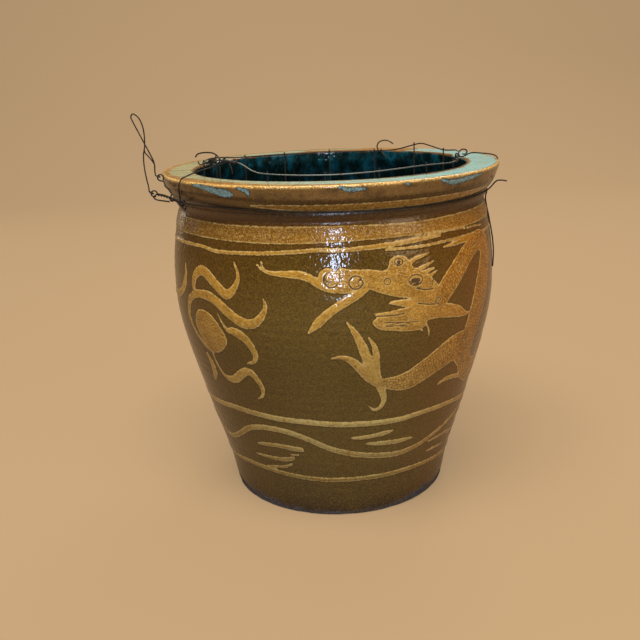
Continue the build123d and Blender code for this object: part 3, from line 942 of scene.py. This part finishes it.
to_left = soft_step(-across, 35, 180) * (1 - soft_step(-across, 300, 600))
# The crease's painted shade climbs with it towards the left.
climb = CREASE_CLIMB * to_left * soft_step(up, 441, 453) * (1 - soft_step(up, 464, 486))
overlap = lip_overlap * soft_step(up, 505, 525)
bare = BARE_AT_FRONT + BARE_AT_SIDES * soft_step(np.abs(across), 60, 220) - up
SURFACE_NOTES = {
    "slip": slip, "scratch": scratch, "scratch_side": scratch_side,
    "scratch_reach": scratch + np.abs(scratch_side), "drips": drips, "pale": pale, "bare": bare,
    "up": up - climb + overlap,
    "marking": marking, "marks_along": marks_along, "marks_aside": marks_aside,
}
for name, values in SURFACE_NOTES.items():
    mesh.attributes.new(name, "FLOAT", "POINT").data.foreach_set("value", values.astype(np.float32))
jar = bpy.data.objects.new("glazed_jar", mesh)
bpy.context.scene.collection.objects.link(jar)
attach(jar, "jar")
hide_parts("jar_body")
print("notes on the surface:", len(SURFACE_NOTES))

# %% [markdown]
# ## Glazed stoneware
#
# Iron glaze over stoneware is dark olive where it is thick and amber where it runs thin over an
# edge or over the pale slip. Fired once in a wood kiln, it is glossy but never flat: it has the
# dimples of orange peel, pinholes and dark specks, and each dimple catches its own small glint of
# the window. A glaze is a glass, so its IOR is about 1.5.
#
# The painting could be a picture wrapped round the jar, but that would blur close up. So the
# material reads the depths that the mesh carries. A little noise is added to each before it is
# cut off, which gives the edges the wander of a brush. All parts of the jar share four noises. The
# finest stands for specks of iron of half a millimetre, and is drawn 2 mm coarse so that it shows.

# %% Helpers for the glaze
WANDER_SIZE = 6.0
CLOUD_SIZE = 75.0
PATCH_SIZE = 20.0
GRAIN_SIZE = 2.1


def scale_for(size_mm):
    """The scale at which a texture has features about this many millimetres across."""
    return 1 / (size_mm * MM)


def edge(tree, depth, noise, reach, soft=0.5):
    """1 inside a shape and 0 outside, with an edge that wanders by some millimetres."""
    push = node(tree, MATH, [noise, 2 * reach, -reach], operation="MULTIPLY_ADD")
    moved = node(tree, MATH, [depth, push], operation="ADD")
    return node(tree, RANGE, [moved, -soft, soft])


def roughened(tree, depth, noise, push, less):
    """A depth that a noise pushes out by up to some millimetres, less a fixed part."""
    lowered = node(tree, MATH, [depth, -less], operation="ADD")
    return node(tree, MATH, [noise, push, lowered], operation="MULTIPLY_ADD")


def away_from(tree, value, middle):
    """How far a value is from a middle one, on either side."""
    over = node(tree, MATH, [value, middle], operation="SUBTRACT")
    return node(tree, MATH, [over], operation="ABSOLUTE")


def layered(tree, under, tone, *shares):
    """Lays one tone over another, by the product of some shares."""
    share = shares[0]
    for other in shares[1:]:
        share = node(tree, MATH, [share, other], operation="MULTIPLY")
    return node(tree, MIX, [share, under, tone], data_type="RGBA")


def toned(tree, under, layers):
    """Lays tones over a colour. Each grows to its strength while a texture goes from one value
    to another."""
    for texture, start, full, strength, tone in layers:
        share = node(tree, RANGE, [texture, start, full, 0, strength])
        under = node(tree, MIX, [share, under, tone], data_type="RGBA")
    return under


print("scale of the glaze's grain:", round(scale_for(GRAIN_SIZE)))

# %% Textures of the glaze
stoneware, tree, shader, place = new_material("iron_glazed_stoneware")
notes = {name: node(tree, "ShaderNodeAttribute", attribute_name=name).outputs["Fac"]
         for name in SURFACE_NOTES}
wander = node(tree, NOISE, {"Vector": place, "Scale": scale_for(WANDER_SIZE), "Detail": 3})
clouds = node(tree, NOISE, {"Vector": place, "Scale": scale_for(CLOUD_SIZE), "Detail": 3})
patches = node(tree, NOISE, {"Vector": place, "Scale": scale_for(PATCH_SIZE), "Detail": 4})
grain = node(tree, NOISE, {"Vector": place, "Scale": scale_for(GRAIN_SIZE), "Detail": 4,
                           "Roughness": 0.8})
x_place = node(tree, "ShaderNodeSeparateXYZ", {"Vector": place}).outputs["X"]
aside = node(tree, MATH, [x_place], operation="ABSOLUTE")
aside_share = node(tree, RANGE, [aside, 0.06, 0.21])
to_right = node(tree, RANGE, [x_place, -0.02, 0.16])
print("notes that the glaze reads:", len(notes))

# %% [markdown]
# ### The iron glaze by height
#
# The glaze is thick on the wall. In the crease the ramp paints shade: reddish and nearly black,
# where the crease lies in shadow. Under the lower roll of the rim a dark band is partly a darker
# glaze and partly painted shade. It thins to gold on the rim's outer edge, and that gold is also a
# painted highlight of the lamp overhead. A colour ramp over the height could be drawn in a few
# wide steps, but the rolls of the rim are only millimetres wide, so its stops are given in
# millimetres. At the sides of the wall the glaze is warmer, most of all at the right, which is
# partly the glaze and partly painted warm light.

# %% The iron glaze by height
RAMP_TOP = 560
# Painted shade at 450 to 454 mm in the crease and, partly, at 465 to 470 mm under the roll. The gold
# at 488.5 mm is partly a painted highlight.
GLAZE_AND_PAINTED_LIGHT_STOPS = [
    (0, "#1E1812"), (12, "#2C211A"), (34, "#4C3D22"), (100, "#64522A"), (300, "#5E4C20"),
    (400, "#4E3810"), (437, "#6A4416"), (441, "#5A3A22"), (448, "#482C1E"), (450, "#240F0A"),
    (454, "#240F0A"), (456, "#6A4A20"), (463, "#6A4820"), (465, "#3C2006"), (470, "#44270A"),
    (474, "#886438"), (485, "#906A3A"), (488.5, "#C4923E"), (492, "#9C7030"), (522, "#94703A"),
    (530, "#8A5820"), (536, "#4A3018"),
]
UP_WANDER = 4.0
SIDE_WARMTH = 0.8

up_wavy = node(tree, MATH, [wander, UP_WANDER, notes["up"]], operation="MULTIPLY_ADD")
up_share = node(tree, MATH, [up_wavy, 1 / RAMP_TOP, -UP_WANDER / 2 / RAMP_TOP],
                operation="MULTIPLY_ADD")
glaze_and_painted_light_by_height = node(tree, "ShaderNodeValToRGB", {"Fac": up_share},
                 stops=[(stop_up / RAMP_TOP, tone) for stop_up, tone in GLAZE_AND_PAINTED_LIGHT_STOPS])
below_neck = node(tree, RANGE, [notes["up"], 440, 400])
# The warmer sides are partly the glaze and partly painted warm light, most of all at the right.
side_glaze_and_light = layered(tree, "#583608", "#7C4406", to_right)
glaze = layered(tree, glaze_and_painted_light_by_height, side_glaze_and_light, aside_share, below_neck, SIDE_WARMTH)
glaze = toned(tree, glaze, [
    (clouds, 0.4, 0.7, 0.4, "#5E4A1C"),
    (grain, 0.5, 0.64, 0.5, "#8A6A2C"),
    (grain, 0.5, 0.36, 0.55, "#2A1A08"),
])
print("stops of the glaze:", len(GLAZE_AND_PAINTED_LIGHT_STOPS))

# %% [markdown]
# ### Marks in the glaze
#
# Smoke darkened the rim's face in patches, and its top is gold in patches. Painted highlights, grains
# of pale gold, glint along the outer edge. Dark specks of iron have bled into the wall, about 4 mm
# from one to the next. Beside each stroke of slip a dark line of painted shadow runs along it.

# %% Marks in the glaze
ZONE_FADE = 5
RIM_FACE = (462, 489)
RIM_TOP = (490, 531)
RIM_EDGE = 489.0
SPECK_SPACING = 4.2


def zone(tree, low, high):
    """1 between two heights on the jar and 0 beyond them."""
    above = node(tree, RANGE, [notes["up"], low, low + ZONE_FADE])
    below = node(tree, RANGE, [notes["up"], high, high - ZONE_FADE])
    return node(tree, MATH, [above, below], operation="MULTIPLY")


smoky = node(tree, RANGE, [patches, 0.52, 0.38, 0, 0.6])
glaze = layered(tree, glaze, "#46301C", smoky, zone(tree, *RIM_FACE))
gold = node(tree, RANGE, [patches, 0.47, 0.6, 0, 0.7])
glaze = layered(tree, glaze, "#BE9040", gold, zone(tree, *RIM_TOP))
# Painted highlights: pale gold glints in a band along the rim's outer edge.
edge_glint_band = node(tree, RANGE, [away_from(tree, notes["up"], RIM_EDGE), 3.5, 1.5])
glint_grain = node(tree, RANGE, [grain, 0.48, 0.58])
glaze = layered(tree, glaze, "#F2D494", edge_glint_band, glint_grain, 0.8)

pits = node(tree, CELLS, {"Vector": place, "Scale": scale_for(SPECK_SPACING)})
pit_share = node(tree, RANGE, [pits, 0.2, 0.1])
speckled = node(tree, RANGE, [patches, 0.45, 0.6])
specks = node(tree, MATH, [pit_share, speckled], operation="MULTIPLY")
glaze = layered(tree, glaze, "#22140A", specks, 0.8)
# Painted shadow: a dark, uneven line beside each raised stroke of slip.
shadow_beside_slip = node(tree, RANGE, [notes["slip"], -2.2, -0.2])
shadow_unevenness = node(tree, RANGE, [wander, 0.35, 0.6, 0.2, 0.7])
glaze = layered(tree, glaze, "#33210C", shadow_beside_slip, shadow_unevenness)
print("nodes in the iron glaze:", len(tree.nodes))

# %% [markdown]
# ### The ochre of the slip
#
# Under the glaze the slip is a sandy ochre: golden in the middle of the jar, orange at the sides
# and greener near the foot, where the glaze is thick. The orange at the sides, most of all at the
# right, is partly painted warm light. It could be one flat colour, but brushed slip is streaky, so
# streaks 5 mm long run along each stroke, and the glaze's own grain lies over it. The slip's edge
# is cut off through that grain, which makes it ragged.

# %% The ochre of the slip
RAGGED_BY = 3.0
SLIP_STOPS = [
    (40, "#7E7138"), (90, "#938250"), (160, "#C4B474"), (230, "#C09E54"), (330, "#BC9240"),
    (400, "#B0842E"), (430, "#8C6020"),
]
STREAK_LENGTH = 5.0
STREAKS_PER_MM = 0.42

ragged = roughened(tree, notes["slip"], grain, RAGGED_BY, RAGGED_BY / 2)
slip_share = edge(tree, ragged, wander, 0.8, 0.4)
slip_up = node(tree, MATH, [notes["up"], 1 / RAMP_TOP], operation="MULTIPLY")
ochre = node(tree, "ShaderNodeValToRGB", {"Fac": slip_up},
             stops=[(stop_up / RAMP_TOP, tone) for stop_up, tone in SLIP_STOPS])
# The orange at the sides is partly painted warm light, most of all at the right.
side_slip_and_light = layered(tree, "#BA8834", "#C67204", to_right)
below_band = node(tree, RANGE, [notes["up"], 440, 400, 0.3, 0.8])
ochre = layered(tree, ochre, side_slip_and_light, aside_share, below_band)
to_far_left = node(tree, RANGE, [x_place, -0.02, -0.16, 0, 0.85])
on_band = node(tree, RANGE, [notes["up"], 406, 416])
ochre = layered(tree, ochre, "#6A440E", to_far_left, on_band)

streak_x = node(tree, MATH, [notes["marks_along"], 1 / STREAK_LENGTH], operation="MULTIPLY")
streak_y = node(tree, MATH, [notes["marks_aside"], STREAKS_PER_MM], operation="MULTIPLY")
streak_place = node(tree, "ShaderNodeCombineXYZ", {"X": streak_x, "Y": streak_y})
streaks = node(tree, NOISE, {"Scale": 1.0, "Detail": 2.0, "Vector": streak_place})
ochre = toned(tree, ochre, [
    (patches, 0.42, 0.7, 0.6, "#80540F"),
    (grain, 0.52, 0.66, 0.6, "#C6A04C"),
    (grain, 0.48, 0.34, 0.55, "#5C3C0C"),
    (streaks, 0.52, 0.68, 0.45, "#C9A455"),
    (streaks, 0.48, 0.32, 0.5, "#6B470F"),
])
print("stops of the slip:", len(SLIP_STOPS))

# %% [markdown]
# ### Scales, combing and stipple
#
# The potter worked the wet slip with a comb and a pointed stick. The dragon's body has a net of
# scales about 4 mm to a cell. The pearl has combed lines 3 mm apart. The head and the wide band
# are stippled with small dots and short curls. Each pattern is laid in the direction that its
# stroke runs, so the scales follow the bends of the body. A wave texture goes through twenty
# radians in one unit, which its scale takes into account.

# %% Marks in the slip
SCALE_SIZE = 4.4
COMB_SPACING = 3.2
CURL_SIZE = 4.0
DOT_SIZE = 2.8
RADIANS_IN_WAVE = 20.0
SAME_KIND = 0.4

along_body = node(tree, "ShaderNodeCombineXYZ", [notes["marks_along"], notes["marks_aside"]])
scale_cells = {"Vector": along_body, "Scale": 1 / SCALE_SIZE, "Randomness": 0.5}
scale_net = node(tree, CELLS, scale_cells, feature="DISTANCE_TO_EDGE")
scale_middle = node(tree, CELLS, scale_cells)
comb = node(tree, "ShaderNodeTexWave", {
    "Vector": along_body, "Distortion": 7.0, "Detail": 2.0, "Detail Scale": 1.1,
    "Scale": 2 * math.pi / RADIANS_IN_WAVE / COMB_SPACING}, bands_direction="Y")
curls = node(tree, NOISE, {"Vector": along_body, "Scale": 1 / CURL_SIZE, "Detail": 1})
stipple = node(tree, CELLS, {"Vector": along_body, "Scale": 1 / DOT_SIZE})

marked = {kind: node(tree, MATH, [notes["marking"], kind, SAME_KIND], operation="COMPARE")
          for kind in (SCALES, STRANDS, STIPPLED)}
drawn = {}
for kind, texture, start, full, strength in (
        (SCALES, scale_net, 0.16, 0.05, 1.0),
        (STRANDS, comb, 0.5, 0.2, 0.8),
        (STIPPLED, away_from(tree, curls, 0.5), 0.045, 0.01, 0.8)):
    share = node(tree, RANGE, [texture, start, full, 0, strength])
    drawn[kind] = node(tree, MATH, [share, marked[kind]], operation="MULTIPLY")
scales_or_comb = node(tree, MATH, [drawn[SCALES], drawn[STRANDS]], operation="MAXIMUM")
any_lines = node(tree, MATH, [drawn[STIPPLED], scales_or_comb], operation="MAXIMUM")
well_inside = node(tree, RANGE, [notes["slip"], 1.4, 2.6])
net = node(tree, MATH, [any_lines, well_inside], operation="MULTIPLY")
ochre = layered(tree, ochre, "#70410A", net, 0.65)
tips = node(tree, RANGE, [scale_middle, 0.3, 0.1, 0, 0.55])
ochre = layered(tree, ochre, "#DCB05A", tips, marked[SCALES])
dots = node(tree, RANGE, [stipple, 0.34, 0.14, 0, 0.5])
ochre = layered(tree, ochre, "#DDB86C", dots, marked[STIPPLED])
print("kinds of marks:", len(marked))

# %% [markdown]
# ### Borders and cut lines
#
# A slip line gets a pale border, a painted highlight where the raised trail catches the light. A
# cut line shows the dark body under the slip, with a painted highlight on the ridge of pushed-up
# slip beside it. Its depth comes from two notes, how far it reaches and how far aside a point
# lies, because such a line is little more than 1 mm wide, which is less than a square of the mesh.

# %% Borders and cut lines
# Painted highlights: a pale border along each slip line, and a pale ridge beside each cut.
edge_highlight = node(tree, RANGE, [notes["slip"], 2.0, 0.7])
edge_highlight_fade = node(tree, RANGE, [wander, 0.4, 0.62, 0.2, 0.85])
ochre = layered(tree, ochre, "#CDB070", edge_highlight, edge_highlight_fade)
scratch_aside = node(tree, MATH, [notes["scratch_side"]], operation="ABSOLUTE")
scratch_depth = node(tree, MATH, [notes["scratch_reach"], scratch_aside], operation="SUBTRACT")
near_scratch = node(tree, RANGE, [notes["scratch"], -2.0, -1.6])
ridge_highlight = node(tree, RANGE, [scratch_depth, -1.8, -1.0, 0, 0.3])
ochre = layered(tree, ochre, "#CDAF68", ridge_highlight, near_scratch)
scratch_edge = edge(tree, scratch_depth, wander, 0.3, 0.3)
scratch_share = node(tree, MATH, [scratch_edge, near_scratch], operation="MULTIPLY")
ochre = layered(tree, ochre, "#351C04", scratch_share, 0.92)
colour = layered(tree, glaze, ochre, slip_share)
print("nodes with the slip:", len(tree.nodes))

# %% [markdown]
# ### Pale glaze and drips
#
# The rim's pale glaze is turquoise at the right and creamier at the left, with dark brush marks
# running across it. The drips on the rim's face are bluish with dark edges. Both have hairs and
# runs that go one way, so their noise is laid on the unrolled skin: round the belly, and up and
# over the rim as the glaze ran.

# %% Pale glaze and drips
RUN_STRETCH = 0.8
RUN_SIZE = 2.6
HAIR_SIZE = 2.2

flat_place = node(tree, VECTORS, [place, (1, 1, 0)], operation="MULTIPLY")
unit_place = node(tree, VECTORS, [flat_place], operation="NORMALIZE")
round_place = node(tree, VECTORS, [unit_place, BELLY_R], operation="SCALE")
run_up = node(tree, MATH, [notes["up"], RUN_STRETCH], operation="MULTIPLY")
run_rise = node(tree, "ShaderNodeCombineXYZ", {"Z": run_up})
runs_place = node(tree, VECTORS, [round_place, run_rise], operation="ADD")
runs = node(tree, NOISE, {"Vector": runs_place, "Scale": 1 / RUN_SIZE, "Detail": 3})
hairs = node(tree, NOISE, {"Vector": round_place, "Scale": 1 / HAIR_SIZE, "Detail": 2})

turquoise = node(tree, RANGE, [x_place, -0.22, 0.16])
celadon = layered(tree, "#AAB088", "#8ECAD0", turquoise)
celadon = toned(tree, celadon, [(patches, 0.5, 0.72, 0.6, "#8A8C60")])
hair_marks = node(tree, RANGE, [hairs, 0.52, 0.62])
at_left = node(tree, RANGE, [x_place, 0.05, -0.16, 0.2, 0.9])
celadon = layered(tree, celadon, "#4C4630", hair_marks, at_left)
pale_depth = roughened(tree, notes["pale"], hairs, 8.0, 4.0)
colour = layered(tree, colour, celadon, edge(tree, pale_depth, patches, 6.0, 1.5))

drip_depth = roughened(tree, notes["drips"], runs, 5.0, 1.6)
in_drip = node(tree, RANGE, [drip_depth, 0.3, 2.0])
drip_tone = layered(tree, "#1A2026", "#90B6B4", in_drip)
drip_tone = toned(tree, drip_tone, [
    (runs, 0.55, 0.42, 0.6, "#3C4A4C"),
    (grain, 0.5, 0.62, 0.35, "#5A5440"),
])
colour = layered(tree, colour, drip_tone, edge(tree, drip_depth, wander, 0.8, 0.6))
print("nodes with the pale glaze:", len(tree.nodes))

# %% [markdown]
# ### The inside and the foot
#
# The copper glaze inside is deep and mottled, with blue clouds and dark runs 26 mm apart. The
# foot is bare stoneware, grey and black from the kiln's smoke. The colour could stop at a level
# line, but a wiped edge is uneven, so both edges wander by several millimetres.

# %% The inside and the foot
INSIDE_FROM = 534.0
INSIDE_RUN_SIZE = 26

wide_runs = node(tree, NOISE, {"Vector": runs_place, "Scale": 1 / INSIDE_RUN_SIZE, "Detail": 5,
                               "Roughness": 0.65})
deep = node(tree, "ShaderNodeValToRGB", {"Fac": wide_runs}, stops=[
    (0.36, "#081416"), (0.46, "#0C2224"), (0.54, "#0F343C"), (0.66, "#16596E"), (0.76, "#34685E")])
deep = toned(tree, deep, [(notes["up"], 640, 800, 0.5, "#2C4C44")])
past_lip = node(tree, MATH, [notes["up"], INSIDE_FROM], operation="SUBTRACT")
colour = layered(tree, colour, deep, edge(tree, past_lip, patches, 5.0, 2.0))

bare_share = edge(tree, notes["bare"], patches, 9.0, 5.0)
bare_grain = node(tree, RANGE, [grain, 0.42, 0.62])
bare_clay = layered(tree, "#141214", "#64626A", bare_grain)
colour = layered(tree, colour, bare_clay, bare_share)
tree.links.new(shown(colour), shader.inputs["Base Color"])
print("nodes with all colours:", len(tree.nodes))

# %% [markdown]
# ### Gloss and dimples
#
# The glaze is a glass, nearly smooth, but it is duller in the crease, where dust lies, and where
# the clay is bare or cut. Its dimples are about 3 mm wide on a real jar. They are drawn 6 mm
# wide here, so that each still shows as its own glint at this distance. A finer bump would only
# blur the window's reflection.

# %% Gloss and dimples
GLAZE_IOR = 1.5
CREASE_MIDDLE = 448.0
CREASE_ROUGHNESS = 0.34
BARE_ROUGHNESS = 0.7
PEEL_SIZE = 6.0
PEEL_DEPTH = 0.85

gloss = node(tree, RANGE, [patches, 0.3, 0.7, 0.07, 0.15])
from_crease = away_from(tree, notes["up"], CREASE_MIDDLE)
in_crease = node(tree, RANGE, [from_crease, 13, 7, 0, CREASE_ROUGHNESS])
glazed_rough = node(tree, MATH, [gloss, in_crease], operation="MAXIMUM")
unglazed = node(tree, MATH, [bare_share, scratch_share], operation="MAXIMUM")
bare_rough = node(tree, MATH, [unglazed, BARE_ROUGHNESS], operation="MULTIPLY")
rough = node(tree, MATH, [glazed_rough, bare_rough], operation="MAXIMUM")
tree.links.new(shown(rough), shader.inputs["Roughness"])
shader.inputs["IOR"].default_value = GLAZE_IOR

peel = node(tree, NOISE, {"Vector": place, "Scale": scale_for(PEEL_SIZE), "Detail": 1.4,
                          "Roughness": 0.5})
pitted_peel = node(tree, MATH, [specks, -0.3, peel], operation="MULTIPLY_ADD")
bumps = node(tree, MATH, [net, -0.35, pitted_peel], operation="MULTIPLY_ADD")
dimples = node(tree, "ShaderNodeBump", {"Height": bumps, "Strength": 0.9,
                                        "Distance": PEEL_DEPTH * MM})
tree.links.new(shown(dimples), shader.inputs["Normal"])
mesh.materials.append(stoneware)
print("nodes in the glaze:", len(tree.nodes))

# %% [markdown]
# ## Wires
#
# The cage is galvanised welded mesh: steel wire dipped in zinc. Its top wire still has its zinc
# at the front, dull grey with a few rusty spots, while the rest has gone brown. The rest of the
# mesh is painted nearly black, partly rust and partly painted shade, as it stands inside the
# jar's dark mouth. The ties are black annealed wire, the soft kind that builders twist by hand,
# and they have rusted all over. All of them are metal, so they keep the default IOR. Rust is no
# metal, so where it lies the metallic value drops. One function makes all three, because they
# differ only in their numbers.

# %% Wire materials
RUST_SPOT_SIZE = 9
SCAB_SIZE = 1.2
SCAB_DEPTH = 0.15
RUST_METAL_SHARE = 0.3


def wire_material(name, clean, rusty, rust_from, rust_to, metallic, roughness, back_rust=0.0):
    """Steel wire with spots of rust, more of them towards the back of the jar."""
    material, tree, shader, place = new_material(name)
    spots = node(tree, NOISE, {"Vector": place, "Scale": scale_for(RUST_SPOT_SIZE), "Detail": 4})
    y_place = node(tree, "ShaderNodeSeparateXYZ", {"Vector": place}).outputs["Y"]
    behind = node(tree, RANGE, [y_place, -0.06, 0.06, 0, back_rust])
    spread = node(tree, MATH, [spots, behind], operation="ADD")
    rust = node(tree, RANGE, [spread, rust_from, rust_to])
    tree.links.new(shown(layered(tree, clean, rusty, rust)), shader.inputs["Base Color"])
    metal = node(tree, RANGE, [rust, 0, 1, metallic, metallic * RUST_METAL_SHARE])
    tree.links.new(shown(metal), shader.inputs["Metallic"])
    shader.inputs["Roughness"].default_value = roughness
    scabs = node(tree, NOISE, {"Vector": place, "Scale": scale_for(SCAB_SIZE), "Detail": 2})
    pitted = node(tree, "ShaderNodeBump", {"Height": scabs, "Strength": 0.5,
                                           "Distance": SCAB_DEPTH * MM})
    tree.links.new(shown(pitted), shader.inputs["Normal"])
    return material


zinc = wire_material("galvanised_steel_wire", "#666B67", "#33241A", 0.58, 0.75, 0.7, 0.5,
                     back_rust=0.4)
# The mesh's near-black is partly rust and partly painted shade of the jar's mouth.
mesh_rust_and_shade = wire_material("mesh_wire_rust_and_painted_shade", "#26231E", "#20160F", 0.45, 0.65, 0.3, 0.7)
annealed = wire_material("annealed_steel_wire", "#1C1815", "#33241A", 0.48, 0.7, 0.3, 0.6)
for name, piece in nodes.items():
    if name == "jar_body":
        continue
    piece.data.materials.clear()
    cage_finish = zinc if name == "cage_ring_top" else mesh_rust_and_shade
    piece.data.materials.append(cage_finish if name.startswith("cage") else annealed)
    piece.data.polygons.foreach_set("use_smooth", [True] * len(piece.data.polygons))
print("wires with a finish:", len(nodes) - 1)
